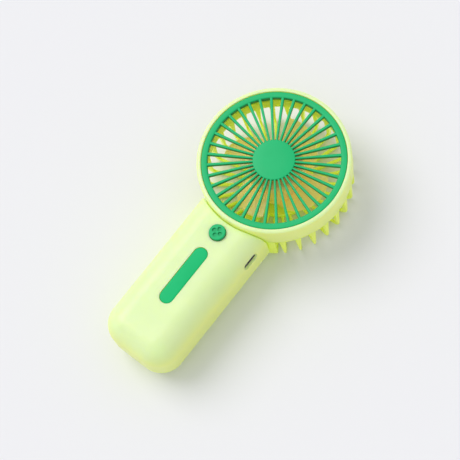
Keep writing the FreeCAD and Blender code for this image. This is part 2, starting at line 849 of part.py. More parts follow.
def neck_opening(name):
    """The room that both shells leave in their concave end for the neck."""
    half = neck_width / 2 + 0.2
    return block(name, (-half, half), (-handle_bore - wall - 1, -handle_bore + 4),
                 (neck_low - 0.2, neck_high + 0.2))


def make_front_shell():
    """The front shell, with its button hole, light window, port and screw bosses."""
    shell, core = handle_shell("front", split, handle_thick, front_round, True)
    pillars = []
    pilots = []
    for across, along in HANDLE_BOSSES:
        pillars.append(rod("front_boss", boss_radius, (split, handle_thick), (across, along)))
        pilots.append(rod("front_pilot", screw_radius, (split - 1, split + 8), (across, along)))
    for across, along in BOARD_BOSSES:
        pillars.append(rod("board_boss", 2.2, (board_top, handle_thick), (across, along)))
        pilots.append(rod("board_pilot", board_screw_radius, (board_top - 1, board_top + 5), (across, along)))
    bosses = common("front_bosses", fuse("front_pillars", *pillars), core)
    button_hole = rod("button_hole", button_radius + button_gap, (inner_front - 1, handle_thick + 1),
                      (0, -button_place))
    window = stadium("light_window", light_length + 2 * seam, light_width + 2 * seam,
                     (inner_front - 1, handle_thick + 1), -light_place)
    port = side_stadium("port_opening", port_width + 2 * port_gap, port_height + 2 * port_gap,
                        (handle_width / 2 - wall - 2, handle_width / 2 + 1), -port_place, port_middle)
    tools = fuse("front_tools", button_hole, window, port, neck_opening("front_neck"), *pilots)
    node("handle_front_shell", cut("front_part", fuse("front_solid", shell, bosses), tools))


def make_rear_shell():
    """The rear shell, with the screw bosses and the cradle for the battery."""
    shell, core = handle_shell("rear", as_size(0), split, back_round, False)
    pillars = [rod("rear_boss", boss_radius, (as_size(0), split), at)
               for at in HANDLE_BOSSES]
    for along in (cell_start + 12, cell_end - 12):
        rib = block("cradle_blank", (-cell_radius - 2, cell_radius + 2),
                    (-along - 0.8, -along + 0.8), (as_size(0), cell_middle_z - 1))
        pillars.append(rib)
    bosses = common("rear_bosses", fuse("rear_pillars", *pillars), core)
    bed = rod_along_y("cell_bed", cell_radius + 0.1, (-cell_end - 0.3, -cell_start + 1),
                      (0, cell_middle_z))
    pad_room = block("pad_room", (-6.2, 6.2), (-cell_end + 5, -cell_start - 2),
                     (wall, wall + pad_thick + 1))
    tools = [bed, pad_room, neck_opening("rear_neck")]
    for at in HANDLE_BOSSES:
        tools.append(rod("rear_head_hole", head_screw_radius + 0.3, (as_size(-1), screw_seat), at))
        tools.append(rod("rear_screw_hole", screw_radius + 0.15, (as_size(0), split + 1), at))
    node("handle_rear_shell", cut("rear_part", fuse("rear_solid", shell, bosses),
                                  fuse("rear_tools", *tools)))


def make_handle_screws():
    """Four screws from the back through the rear bosses into the front ones."""
    screws = [screw("handle_screw", screw_seat - screw_head, screw_seat, split + 6, at)
              for at in HANDLE_BOSSES]
    node("handle_screws", group("handle_screws_group", screws))


# ---------------------------------------------------------------- the controls

# The outline of one petal of the button's sign: shares of the button's radius, and angles
PETAL = ((0.14, 0), (0.26, -36), (0.46, -36), (0.64, -20), (0.70, 4), (0.62, 22), (0.43, 32), (0.24, 30))


def make_button():
    """The round button with a four-bladed sign sunk in its top, and its flange and stem."""
    top = handle_thick + button_proud
    flange_top = inner_front - 0.3
    flange_low = flange_top - 1
    switch_top = board_top + switch_height
    stem = switch_top + button_travel + 0.6
    cap = turned("button_cap_part", [
        (0, stem),
        (1.3, stem),
        (1.3, flange_low),
        (button_radius + button_flange, flange_low),
        (button_radius + button_flange, flange_top),
        (button_radius, flange_top),
        (button_radius, top),
        (0, top)], at=(0, -button_place))
    round_edges(cap, 0.6, lambda edge: lies_at(edge, top.number))
    petals = []
    for angle in spread(4, 90):
        corners = []
        for reach, lean in PETAL:
            turn = math.radians(angle + lean)
            corners.append((button_radius * (reach * math.cos(turn)),
                            button_radius * (reach * math.sin(turn)) - button_place))
        petals.append(plate("icon_petal", corners, (top - icon_depth, top + 1)))
    node("button_cap", cut("button_part", cap, *petals))
    plunger_low = switch_top - 0.8
    plunger = rod("plunger_part", 1.6, (plunger_low, stem), (0, -button_place))
    node("switch_plunger", plunger)
    half = switch_side / 2
    body = block("switch_block", (-half, half), (-button_place - half, -button_place + half),
                 (board_top, switch_top))
    well = rod("switch_well", 1.75, (plunger_low - button_travel - 0.3, switch_top + 1),
               (0, -button_place))
    node("tact_switch", cut("switch_part", body, well))


def make_light_bar():
    """The long window flush with the handle's front, its light box and the four lamps below."""
    lens_low = inner_front - 1.2
    lens = fuse("lens_part",
                stadium("lens_window", light_length, light_width, (lens_low, handle_thick), -light_place),
                stadium("lens_flange", light_length + 2 * light_flange, light_width + 2 * light_flange,
                        (lens_low, inner_front), -light_place))
    node("light_lens", lens)
    z = (board_top, lens_low)
    outer = stadium("light_box_outer", light_length + light_flange, light_width + light_flange,
                    z, -light_place)
    inner = stadium("light_box_inner", light_length - 1, light_width - 1,
                    (z[0] - 1, z[1] + 1), -light_place)
    node("light_box", cut("light_box_part", outer, inner))
    lamps = []
    for step in (-1.5, -0.5, 0.5, 1.5):
        middle = -light_place + step * (light_length / 4)
        lamps.append(block("lamp", (-0.8, 0.8), (middle - 0.4, middle + 0.4), (board_top, board_top + 0.7)))
    node("indicator_lamps", group("lamps_group", lamps))


# Each chip's place across the board and from the board's top end, its two sides and its height
CHIPS = ((-8.5, 7.6, 4.0, 3.0, 1.2), (7.6, 10.2, 3.0, 2.4, 1.0), (-9.6, 4.0, 1.6, 2.4, 0.9),
         (-4.6, 11.2, 2.4, 1.4, 0.8), (5.6, 1.7, 2.2, 1.2, 0.8))


def make_board():
    """The main circuit board with its chips, the charging port and the board screws."""
    wide = board_wide / 2
    narrow = board_narrow / 2
    blank = plate("board_blank", [
        (-wide, -board_start), (-wide, -board_shoulder), (-narrow, -board_shoulder),
        (-narrow, -board_end), (narrow, -board_end), (narrow, -board_shoulder),
        (wide, -board_shoulder), (wide, -board_start)], (board_low, board_top))
    holes = [rod("board_hole", board_screw_radius + 0.1, (board_low - 1, board_top + 1), at)
             for at in BOARD_BOSSES]
    node("circuit_board", cut("board_part", blank, fuse("board_holes", *holes)))
    chips = []
    for x, along, long_x, long_y, high in CHIPS:
        y = -board_start - along
        chips.append(block("chip", (x - long_x / 2, x + long_x / 2), (y - long_y / 2, y + long_y / 2),
                           (board_top, board_top + high)))
    node("board_chips", group("chips_group", chips))
    screws = [screw("board_screw", board_low - 0.9, board_low, board_top + 4, at,
                    shank=board_screw_radius, head=as_size(1.5))
              for at in BOARD_BOSSES]
    node("board_screws", group("board_screws_group", screws))


def make_port():
    """The charging socket: a thin metal shell, an insulating block and the contact tongue."""
    mouth = handle_width / 2 - wall + 0.6
    back = mouth - port_length
    skin = 0.3
    shell = side_stadium("port_shell_outer", port_width, port_height, (back, mouth),
                         -port_place, port_middle)
    hollow = side_stadium("port_shell_inner", port_width - 2 * skin, port_height - 2 * skin,
                          (back - 1, mouth + 1), -port_place, port_middle)
    node("charging_port_shell", cut("port_shell_part", shell, hollow))
    plug = side_stadium("port_block", port_width - 2 * skin, port_height - 2 * skin,
                        (back, back + 2), -port_place, port_middle)
    tongue = block("port_tongue", (back + 1, mouth - 0.8), (-port_place - 3.3, -port_place + 3.3),
                   (port_middle - 0.35, port_middle + 0.35))
    node("charging_port_tongue", fuse("port_tongue_part", plug, tongue))


# ---------------------------------------------------------------- the battery and the leads

def make_battery():
    """The round lithium cell with its sleeve ends, tabs and the foam strip under it."""
    at = (0, cell_middle_z)
    cell_body = rod_along_y("cell_body", cell_radius, (-cell_end, -cell_start), at)
    node("battery_cell", cell_body)
    tabs = []
    for y in ((-cell_start, -cell_start + 0.3), (-cell_end - 0.3, -cell_end)):
        tabs.append(block("tab", (-2.5, 2.5), y, (cell_middle_z - 5, cell_middle_z + 5)))
    node("battery_tabs", group("tabs_group", tabs))
    pad = block("foam_part", (-6, 6), (-cell_end + 6, -cell_start - 3), (wall, wall + pad_thick))
    node("battery_foam_pad", pad)


def lead(name, points, largest):
    """A round lead: straight runs joined by tangent arcs of up to the largest radius."""
    corners = [Vector(*[as_size(value).number for value in point]) for point in points]
    start = corners[0]
    edges = []
    for index in range(1, len(corners) - 1):
        before = corners[index - 1] - corners[index]
        after = corners[index + 1] - corners[index]
        half_turn = (math.pi - before.getAngle(after)) / 2
        cutback = min(0.45 * min(before.Length, after.Length), largest * math.tan(half_turn))
        radius = cutback / math.tan(half_turn)
        first = corners[index] + Vector(before).normalize() * cutback
        last = corners[index] + Vector(after).normalize() * cutback
        inward = (Vector(before).normalize() + Vector(after).normalize()).normalize()
        middle = corners[index] + inward * (radius / math.cos(half_turn) - radius)
        edges.append(Part.LineSegment(start, first).toShape())
        edges.append(Part.Arc(first, middle, last).toShape())
        start = last
    edges.append(Part.LineSegment(start, corners[-1]).toShape())
    path = Part.Wire(edges)
    end = Part.Circle(corners[0], corners[1] - corners[0], lead_radius.number)
    item = doc.addObject("Part::Feature", name)
    item.Shape = path.makePipeShell([Part.Wire(end.toShape())], True, True)
    return item


def make_leads():
    """The motor's two leads through the neck, and the battery's two leads to the board."""
    solder = board_low - 0.05
    low = (neck_low + 1 + channel_high) / 2
    rise = -(handle_bore + wall + 0.3 + neck_flange + 2.2)
    motor_leads = []
    for side in (-1, 1):
        motor_leads.append(lead("motor_lead", [
            (side * 1.0, -board_radius, motor_seat + base_thick + 1.5),
            (side * 1.0, -hub_radius - 2, low),
            (side * 1.0, rise, low),
            (side * 1.0, rise, solder)], 2.0))
    node("motor_leads", group("motor_leads_group", motor_leads))
    before = -cell_start + 0.9
    positive = lead("positive_lead", [
        (4.0, before, cell_middle_z),
        (6.4, before, cell_middle_z + 5.8),
        (6.4, before, solder)], 4.0)
    node("battery_lead_positive", positive)
    behind = -cell_end - 0.3 - lead_radius
    beside = cell_radius - 0.5
    negative = lead("negative_lead", [
        (-1.0, behind, cell_middle_z),
        (-6.0, behind, cell_middle_z + cell_radius + 0.6),
        (-beside, -cell_end + 7.0, cell_middle_z + 7.3),
        (-beside, -board_end + 6.0, cell_middle_z + 6.9),
        (-beside, -board_end + 6.0, solder)], 4.0)
    node("battery_lead_negative", negative)


# ---------------------------------------------------------------- build, check and write

make_head_ring()
make_front_grille()
make_rear_guard()
make_guard_trim()
make_motor_base()
make_stator()
make_rotor()
make_impeller()
make_front_shell()
make_rear_shell()
make_handle_screws()
make_button()
make_light_bar()
make_board()
make_port()
make_battery()
make_leads()
doc.recompute()

for item in doc.Objects:
    if "Invalid" in item.State or "Error" in item.State:
        raise RuntimeError("%s (%s) failed: %s" % (item.Name, item.Label, item.State))
for item in nodes:
    if item.Shape.isNull() or not item.Shape.isValid():
        raise RuntimeError("%s has no valid shape" % item.Label)
for item in nodes:
    item.Shape.exportStep("parts/%s.step" % item.Label)
    print("%-24s %2d solid(s) %9.1f mm3" % (item.Label, len(item.Shape.Solids), item.Shape.Volume))
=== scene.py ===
import math

import bmesh
import bpy
import numpy as np
from mathutils import Matrix, Vector


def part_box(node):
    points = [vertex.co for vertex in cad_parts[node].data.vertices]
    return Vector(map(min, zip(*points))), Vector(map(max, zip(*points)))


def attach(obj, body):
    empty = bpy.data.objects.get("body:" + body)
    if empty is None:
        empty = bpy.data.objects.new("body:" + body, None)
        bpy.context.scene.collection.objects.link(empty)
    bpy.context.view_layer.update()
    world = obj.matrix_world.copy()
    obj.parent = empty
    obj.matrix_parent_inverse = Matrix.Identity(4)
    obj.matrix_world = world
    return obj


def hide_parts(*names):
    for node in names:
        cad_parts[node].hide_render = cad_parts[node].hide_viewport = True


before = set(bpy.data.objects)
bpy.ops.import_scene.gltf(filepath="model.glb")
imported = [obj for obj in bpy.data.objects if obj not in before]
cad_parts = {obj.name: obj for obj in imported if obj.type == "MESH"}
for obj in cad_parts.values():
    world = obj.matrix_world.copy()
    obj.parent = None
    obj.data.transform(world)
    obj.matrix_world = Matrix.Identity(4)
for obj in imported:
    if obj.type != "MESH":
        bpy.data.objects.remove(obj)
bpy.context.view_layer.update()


# ---------------------------------------------------------------- shader building

class Signal:
    """A socket of a material's node tree; arithmetic on it adds Math nodes."""

    def __init__(self, finish, socket):
        self.finish = finish
        self.socket = socket

    def apply(self, operation, first, second=0.0):
        """The result of a Math node's operation on signals or numbers."""
        return self.finish.add("ShaderNodeMath", {"operation": operation}, {0: first, 1: second})[0]

    def __add__(self, other):
        return self.apply("ADD", self, other)

    def __mul__(self, other):
        return self.apply("MULTIPLY", self, other)

    __radd__ = __add__
    __rmul__ = __mul__


class Finish:
    """One node material: nodes are added by type, settings and socket values or signals.

    places holds the object's own coordinates, and upright how far a face looks towards the front, which
    steers painted side shading."""

    def __init__(self, name):
        self.material = bpy.data.materials.new(name)
        self.material.use_nodes = True
        self.tree = self.material.node_tree
        self.tree.nodes.clear()
        outputs = self.add("ShaderNodeTexCoord")
        face_direction, self.places = outputs[1], outputs[3]
        self.upright = self.add("ShaderNodeSeparateXYZ", None, {0: face_direction})[2]

    def add(self, kind, settings=None, sockets=None):
        """A node whose settings are set first, then its sockets' values or links; gives its outputs."""
        node = self.tree.nodes.new(kind)
        for key, value in (settings or {}).items():
            setattr(node, key, value)
        for key, value in (sockets or {}).items():
            if isinstance(value, Signal):
                self.tree.links.new(value.socket, node.inputs[key])
            else:
                node.inputs[key].default_value = value
        return [Signal(self, socket) for socket in node.outputs]

    def noise(self, scale, detail=2.0, roughness=0.5, at=None):
        """Fractal noise on the object's own coordinates, as a 0 to 1 signal."""
        return self.add("ShaderNodeTexNoise", None, {
            "Vector": at or self.places, "Scale": scale, "Detail": detail, "Roughness": roughness})[0]

    def ramp(self, signal, low, high):
        """The signal stretched so that low gives 0 and high gives 1, with soft ends."""
        return self.add("ShaderNodeMapRange", {"interpolation_type": "SMOOTHSTEP"}, {
            "Value": signal, "From Min": low, "From Max": high})[0]

    def mix(self, amount, first, second):
        """A colour part way from the first to the second."""
        return self.add("ShaderNodeMix", {"data_type": "RGBA"}, {0: amount, 6: first, 7: second})[2]

    def bump(self, height, distance):
        """A normal bent by a height signal, whose full range stands for the distance in metres."""
        return self.add("ShaderNodeBump", None, {"Height": height, "Distance": distance})[0]

    def shade(self, **sockets):
        """The main shader, wired to the output; words in socket names are joined by underscores."""
        named = {key.replace("_", " "): value for key, value in sockets.items()}
        shader = self.add("ShaderNodeBsdfPrincipled", None, named)[0]
        self.add("ShaderNodeOutputMaterial", None, {"Surface": shader})
        return self.material


def rgb(red, green, blue):
    """A linear colour with full alpha."""
    return (red, green, blue, 1.0)


def moulded(name, colour, pale, roughness=0.38, grain=0.00002, side=None, **extra):
    """Moulded plastic: faint flow clouds in its colour, fine spark-eroded grain and soft scuffs;
    a side colour, where there is one, is painted light and shade on faces that look away from the front."""
    finish = Finish(name)
    clouds = finish.ramp(finish.noise(55.0, 3.0), 0.35, 0.70)
    speck = finish.noise(5200.0, 2.0, 0.6)
    wave = finish.noise(160.0, 2.0)
    scuff = finish.ramp(finish.noise(420.0, 4.0, 0.65), 0.60, 0.78)
    face = finish.mix(clouds * 0.7 + speck * 0.15, colour, pale)
    if side:
        # Painted light and shade: faces turned away from the front take the side colour in place of the
        # plastic's own.
        face = finish.mix(finish.ramp(finish.upright, 0.0, 0.9), side, face)
    return finish.shade(
        Base_Color=face,
        Roughness=speck * 0.08 + scuff * 0.07 + (roughness - 0.05),
        Normal=finish.bump(speck * 0.75 + wave * 0.6, grain),
        **extra)


def metal(name, colour, roughness, brush=0.0):
    """Bare metal: drawn lines along the handle's length or a fine mottle, with varied polish."""
    finish = Finish(name)
    lines = finish.add("ShaderNodeMapping", None, {
        "Vector": finish.places, "Scale": (9000.0, 700.0, 9000.0)})[0]
    streak = finish.noise(1.0, 3.0, 0.6, at=lines)
    mottle = finish.noise(900.0, 3.0)
    dark = rgb(*(part * 0.72 for part in colour[:3]))
    return finish.shade(
        Base_Color=finish.mix(streak * 0.5 + mottle * 0.4, colour, dark),
        Roughness=streak * 0.16 + (roughness - 0.08),
        Normal=finish.bump(streak * brush + mottle * 0.3, 0.00001),
        Metallic=1.0)


def striped(name, first, second, pitch, axis, roughness):
    """Bands of two colours along one axis, such as laminations, board tracks or wound wire."""
    finish = Finish(name)
    parts = finish.add("ShaderNodeSeparateXYZ", None, {0: finish.places})
    wave = parts[axis].apply("SINE", parts[axis] * (2 * math.pi / pitch))
    band = finish.ramp(wave, -0.2, 0.5)
    mottle = finish.noise(1500.0, 2.0)
    return finish.shade(
        Base_Color=finish.mix(band * 0.8 + mottle * 0.2, first, second),
        Roughness=mottle * 0.15 + (roughness - 0.07),
        Normal=finish.bump(band, 0.00004))


LIME = rgb(0.69, 0.92, 0.43)
LIME_PALE = rgb(0.73, 0.95, 0.46)
# Painted light: a more saturated copy of the lime that stands in for bounce light inside the cage.
GUARD_LIME_PAINTED_BOUNCE = rgb(0.76, 0.96, 0.12)
GREEN = rgb(0.004, 0.46, 0.15)
GREEN_PALE = rgb(0.007, 0.49, 0.165)
PEACH = rgb(1.0, 0.70, 0.26)


def translucent_with_painted_glow(red, green, blue, strength):
    """Settings of a bright dyed plastic: light spreads inside it, least in blue, and its emission is a
    painted glow that brightens it where it lies in shade.
    """
    return {"Subsurface_Weight": 0.6, "Subsurface_Radius": (1.0, 1.0, 0.2), "Subsurface_Scale": 0.005,
            "Emission_Color": rgb(red, green, blue), "Emission_Strength": strength}


# Painted light: the lime's side colour is a brighter, more saturated lime standing in for bounce light on
# its sides, and its emission is a painted glow.
lime = moulded("lime_shell", LIME, LIME_PALE, side=rgb(0.82, 0.98, 0.26), Coat_Weight=0.10,
               Coat_Roughness=0.25, **translucent_with_painted_glow(0.62, 0.70, 0.02, 0.07))
# Painted light: the guard's saturated lime stands in for bounce light inside the cage, and its emission is
# a painted glow.
guard_lime_painted_bounce = moulded("lime_guard_painted_bounce", GUARD_LIME_PAINTED_BOUNCE, rgb(0.80, 0.94, 0.13), Coat_Weight=0.05,
                     Coat_Roughness=0.3, **translucent_with_painted_glow(0.58, 0.75, 0.02, 0.12))
cap_lime = moulded("lime_cap", rgb(0.62, 0.79, 0.30), rgb(0.66, 0.82, 0.33), 0.5, 0.00004)
# Painted shade: the green's side colour darkens faces turned away from the front, such as the spokes'
# sides.
green = moulded("green_face", GREEN, GREEN_PALE, 0.42, side=rgb(0.0015, 0.27, 0.085),
                Specular_IOR_Level=0.3)
# Painted light: the blades' emission is a painted glow that brightens them in the shade of the grille.
peach = moulded("peach_blades", PEACH, rgb(1.0, 0.76, 0.36), 0.34,
                Coat_Weight=0.15, Coat_Roughness=0.2, **translucent_with_painted_glow(0.95, 0.55, 0.10, 0.11))
lens = moulded("green_lens", rgb(0.002, 0.47, 0.15), rgb(0.004, 0.51, 0.17), 0.5, 0.000008,
              Specular_IOR_Level=0.2)
white = moulded("white_box", rgb(0.80, 0.80, 0.77), rgb(0.86, 0.86, 0.84), 0.5)
black = moulded("black_parts", rgb(0.015, 0.015, 0.017), rgb(0.03, 0.03, 0.032), 0.45)
magnet = moulded("magnet_black", rgb(0.035, 0.033, 0.033), rgb(0.06, 0.055, 0.053), 0.5, 0.00004)
sleeve = moulded("cell_sleeve", rgb(0.02, 0.10, 0.36), rgb(0.03, 0.13, 0.42), 0.28, 0.00003)
foam = moulded("foam_pad", rgb(0.035, 0.035, 0.038), rgb(0.06, 0.06, 0.065), 0.9, 0.00015)
red_lead = moulded("red_insulation", rgb(0.50, 0.012, 0.010), rgb(0.56, 0.02, 0.015), 0.42)
black_lead = moulded("black_insulation", rgb(0.012, 0.012, 0.013), rgb(0.025, 0.025, 0.027), 0.42)
lamp = moulded("lamp_white", rgb(0.85, 0.83, 0.66), rgb(0.92, 0.90, 0.75), 0.3)
screw_steel = metal("screw_steel", rgb(0.60, 0.60, 0.62), 0.34, 0.2)
shaft_steel = metal("shaft_steel", rgb(0.70, 0.70, 0.72), 0.20, 0.3)
can_steel = metal("can_steel", rgb(0.62, 0.62, 0.63), 0.28, 0.5)
port_steel = metal("port_steel", rgb(0.72, 0.72, 0.74), 0.26, 0.4)
nickel = metal("nickel_tab", rgb(0.70, 0.67, 0.61), 0.36, 0.6)
bronze = metal("bush_bronze", rgb(0.52, 0.30, 0.12), 0.42, 0.1)
core_steel = striped("core_laminations", rgb(0.10, 0.10, 0.11), rgb(0.17, 0.17, 0.18), 0.0005, 2, 0.45)
copper = striped("copper_winding", rgb(0.40, 0.13, 0.045), rgb(0.62, 0.24, 0.09), 0.00035, 2, 0.34)
board = striped("green_board", rgb(0.010, 0.085, 0.035), rgb(0.016, 0.13, 0.05), 0.0016, 0, 0.38)

NODE_FINISH = {
    "head_ring": lime, "front_grille": green, "rear_guard": guard_lime_painted_bounce, "rear_cap": cap_lime,
    "lead_channel_cover": guard_lime_painted_bounce, "motor_base": can_steel, "lower_bush": bronze, "upper_bush": bronze,
    "motor_board": board, "motor_screws": screw_steel, "motor_stator": core_steel,
    "motor_coils": copper, "motor_shaft": shaft_steel, "shaft_clip": black, "rotor_can": can_steel,
    "magnet_ring": magnet, "impeller": peach, "handle_front_shell": lime, "handle_rear_shell": lime,
    "handle_screws": screw_steel, "button_cap": green, "switch_plunger": black, "tact_switch": black,
    "light_lens": lens, "light_box": white, "indicator_lamps": lamp, "circuit_board": board,
    "board_chips": black, "board_screws": screw_steel, "charging_port_shell": port_steel,
    "charging_port_tongue": black, "battery_cell": sleeve, "battery_tabs": nickel,
    "battery_foam_pad": foam, "motor_leads": black_lead, "battery_lead_positive": red_lead,
    "battery_lead_negative": black_lead}
for name, finish in NODE_FINISH.items():
    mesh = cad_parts[name].data
    mesh.materials.clear()
    mesh.materials.append(finish)


# ---------------------------------------------------------------- surfaces, in millimetres

def rounded(corners, radii, steps=6):
    """A closed outline whose corners are arcs: each arc's centre lies on the corner's bisector,
    and its ends are where that circle touches the two sides."""
    corner = np.array(corners, float)
    radius = np.broadcast_to(np.array(radii, float), len(corner))[:, None]
    back = np.roll(corner, 1, 0) - corner
    ahead = np.roll(corner, -1, 0) - corner
    back /= np.linalg.norm(back, axis=1, keepdims=True)
    ahead /= np.linalg.norm(ahead, axis=1, keepdims=True)
    half = np.arccos(np.clip((back * ahead).sum(1, keepdims=True), -1, 1)) / 2
    bisector = (back + ahead) / np.linalg.norm(back + ahead, axis=1, keepdims=True)
    centre = corner + bisector * radius / np.sin(half)
    start = (corner + back * radius / np.tan(half) - centre)[:, None]
    end = (corner + ahead * radius / np.tan(half) - centre)[:, None]
    span = (math.pi - 2 * half)[:, None]
    share = np.linspace(0, 1, steps)[None, :, None]
    arc = (np.sin((1 - share) * span) * start + np.sin(share * span) * end) / np.sin(span)
    return (centre[:, None] + arc).reshape(-1, 2)


def lathe(profile, angles):
    """A profile of radius and height carried round the Z axis: x and y are the radius times the
    cosine and sine of each angle."""
    radius, height = np.array(profile, float).T
    return np.stack([np.outer(np.cos(angles), radius), np.outer(np.sin(angles), radius),
                     np.broadcast_to(height, (len(angles), len(height)))], -1)


def full_turn(segments):
    """Evenly spaced angles of a whole turn."""
    return np.linspace(0, 2 * math.pi, segments, endpoint=False)


def soft_section(width, height, radius, steps=4):
    """Rectangles with round corners, one for each width: every point is its corner's centre plus
    the radius times the cosine and sine of its own angle."""
    quarter = np.repeat(np.arange(4), steps)
    angle = math.pi / 2 * (quarter + np.tile(np.linspace(0, 1, steps), 4))
    side = np.where((quarter == 0) | (quarter == 3), 1.0, -1.0)
    top = np.where(quarter < 2, 1.0, -1.0)
    half = np.atleast_1d(width)[:, None] / 2 - radius
    across = half * side + radius * np.cos(angle)
    up = np.broadcast_to(top * (height / 2 - radius) + radius * np.sin(angle), across.shape)
    return across, up


def spun(points, angles):
    """Copies of a grid turned about the Z axis, one for each angle."""
    cosine, sine = np.cos(angles)[:, None, None], np.sin(angles)[:, None, None]
    x, y, z = points[None, ..., 0], points[None, ..., 1], points[None, ..., 2]
    across = x * cosine - y * sine
    return np.stack([across, x * sine + y * cosine, np.broadcast_to(z, across.shape)], -1)


class Piece:
    """One new piece, gathered from closed grids of points, then made a mesh object."""

    def __init__(self):
        self.points = []
        self.faces = []
        self.count = 0

    def add(self, grid, wrap_rows=False):
        """A grid whose rows are closed outlines: its rows join into a loop, or its two ends are
        capped. The faces are turned round if they enclose a negative volume."""
        rows, columns = grid.shape[:2]
        row = np.arange(rows if wrap_rows else rows - 1)[:, None]
        column = np.arange(columns)[None]
        row_after, column_after = (row + 1) % rows, (column + 1) % columns
        quads = np.stack([row * columns + column, row_after * columns + column,
                          row_after * columns + column_after, row * columns + column_after], -1)
        quads = quads.reshape(-1, 4)
        flat = grid.reshape(-1, 3)
        first, second, third, fourth = (flat[quads[:, index]] for index in range(4))
        volume = (first * (np.cross(second, third) + np.cross(third, fourth))).sum()
        faces = quads.tolist()
        if not wrap_rows:
            for start, step in ((0, 1), ((rows - 1) * columns, -1)):
                rim = np.arange(start, start + columns)[::step]
                ring = flat[rim]
                volume += (ring[0] * np.cross(ring[1:-1], ring[2:])).sum()
                faces.append(rim.tolist())
        if volume < 0:
            faces = [face[::-1] for face in faces]
        self.faces += [[index + self.count for index in face] for face in faces]
        self.points.append(flat)
        self.count += len(flat)

    def finish(self, name, body, nodes, finish, slot, sharp=38.0):
        """The mesh object: doubled points merged, smooth but for sharp edges, put under its body, with the
        CAD nodes it replaces hidden.
        """
        mesh = bpy.data.meshes.new(name)
        mesh.from_pydata((np.concatenate(self.points) * 0.001).tolist(), [], self.faces)
        work = bmesh.new()
        work.from_mesh(mesh)
        bmesh.ops.remove_doubles(work, verts=work.verts, dist=1e-7)
        bmesh.ops.dissolve_degenerate(work, edges=work.edges, dist=1e-7)
        work.to_mesh(mesh)
        work.free()
        mesh.shade_smooth()
        mesh.set_sharp_from_angle(angle=math.radians(sharp))
        mesh.materials.append(finish)
        piece = bpy.data.objects.new(name, mesh)
        bpy.context.scene.collection.objects.link(piece)
        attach(piece, body)
        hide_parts(*nodes)


# ---------------------------------------------------------------- the head's visible pieces

def corners_of(node):
    """The lowest and highest corners of a CAD node, in millimetres."""
    return [corner * 1000 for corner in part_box(node)]


ring_start, ring_end = corners_of("head_ring")
HEAD_RADIUS = ring_end.x
HEAD_DEPTH = ring_end.z
RING_LOW = ring_start.z
RING_BORE = HEAD_RADIUS - 2.2
GRILLE_RADIUS = RING_BORE - 0.15
GRILLE_TOP = corners_of("front_grille")[1].z
GRILLE_LOW = GRILLE_TOP - 3
CENTRE = 0.01  # the bend of a profile's corner that needs no bend
ROUND_STEPS = 200


def make_ring():
    """The front ring: a wall with a round lip and a narrow ledge, turned about the axis."""
    ring = Piece()
    ledge_bore = RING_BORE - 1.8
    ledge_low = GRILLE_LOW - 1.5
    profile = rounded(
        [(RING_BORE, RING_LOW), (HEAD_RADIUS, RING_LOW), (HEAD_RADIUS, HEAD_DEPTH),
         (RING_BORE, HEAD_DEPTH), (RING_BORE, GRILLE_LOW), (ledge_bore, GRILLE_LOW),
         (ledge_bore, ledge_low), (RING_BORE, ledge_low)],
        [0.25, 0.35, 1.3, 0.4, 0.1, 0.3, 0.3, 0.1])
    ring.add(lathe(profile, full_turn(ROUND_STEPS)), wrap_rows=True)
    ring.finish("front_ring", "fan_body", ["head_ring"], lime, "lime_plastic")


BAND_BORE = GRILLE_RADIUS - 3.2
DISC_RADIUS = 10.85
SPOKES = 36
CLIPS = 4
CLIP_BORE = 35.25
CLIP_WIDTH = 4.4


def make_grille():
    """The green face: band, crowned disc, spokes that widen outwards, and snap clips behind."""
    grille = Piece()
    band = rounded(
        [(BAND_BORE, GRILLE_LOW), (GRILLE_RADIUS, GRILLE_LOW), (GRILLE_RADIUS, GRILLE_TOP),
         (BAND_BORE, GRILLE_TOP)],
        [0.3, 0.2, 0.55, 0.7])
    grille.add(lathe(band, full_turn(ROUND_STEPS)), wrap_rows=True)
    disc_low = GRILLE_TOP - 1.8
    crown = GRILLE_TOP + 0.08
    edge = rounded([(4, disc_low), (DISC_RADIUS, disc_low), (DISC_RADIUS, crown - 0.13), (4, crown + 0.02)],
                   [CENTRE, 0.2, 0.6, CENTRE])
    disc = np.concatenate([
        [(0, disc_low)], edge[:-6], [(5, crown - 0.04), (2.5, crown - 0.01), (0, crown)]])
    grille.add(lathe(disc, full_turn(ROUND_STEPS)), wrap_rows=True)
    station = np.linspace(DISC_RADIUS - 0.85, BAND_BORE + 0.75, 9)
    width = np.linspace(1.0, 1.5, 9)
    across, up = soft_section(width, 2.2, 0.38, 5)
    spoke_height = GRILLE_TOP - 1.3
    spoke = np.stack([np.broadcast_to(station[:, None], across.shape), across, spoke_height + up], -1)
    for copy in spun(spoke, full_turn(SPOKES)):
        grille.add(copy)
    height = GRILLE_TOP - np.array([2.0, 4.9, 5.5, 6.1, 7.0])
    reach = np.array([36.35, 36.35, 37.3, 37.3, 36.3])
    thick, wide = soft_section(reach - CLIP_BORE, CLIP_WIDTH, 0.2)
    clip = np.stack([(reach[:, None] + CLIP_BORE) / 2 + thick, wide,
                     np.broadcast_to(height[:, None], thick.shape)], -1)
    for copy in spun(clip, full_turn(CLIPS) + math.pi / CLIPS):
        grille.add(copy)
    grille.finish("grille_face", "fan_body", ["front_grille"], green, "green_plastic")


GUARD_RADIUS = HEAD_RADIUS - 0.4
GUARD_WALL = 2.6
SHOULDER_LOW = RING_LOW - 2.2
FIN_TOP = SHOULDER_LOW + 0.6
FIN_BEND = 5.0
FINS = 30
FIN_STEPS = 10
FLOOR_BORE = GUARD_RADIUS - FIN_BEND - 3
WALL_HALF_ANGLE = 36
HUB_RADIUS = 18
HUB_FLOOR = 4
CAP_SEAT_RADIUS = 12.95
CAP_SEAT_DEPTH = 1.2


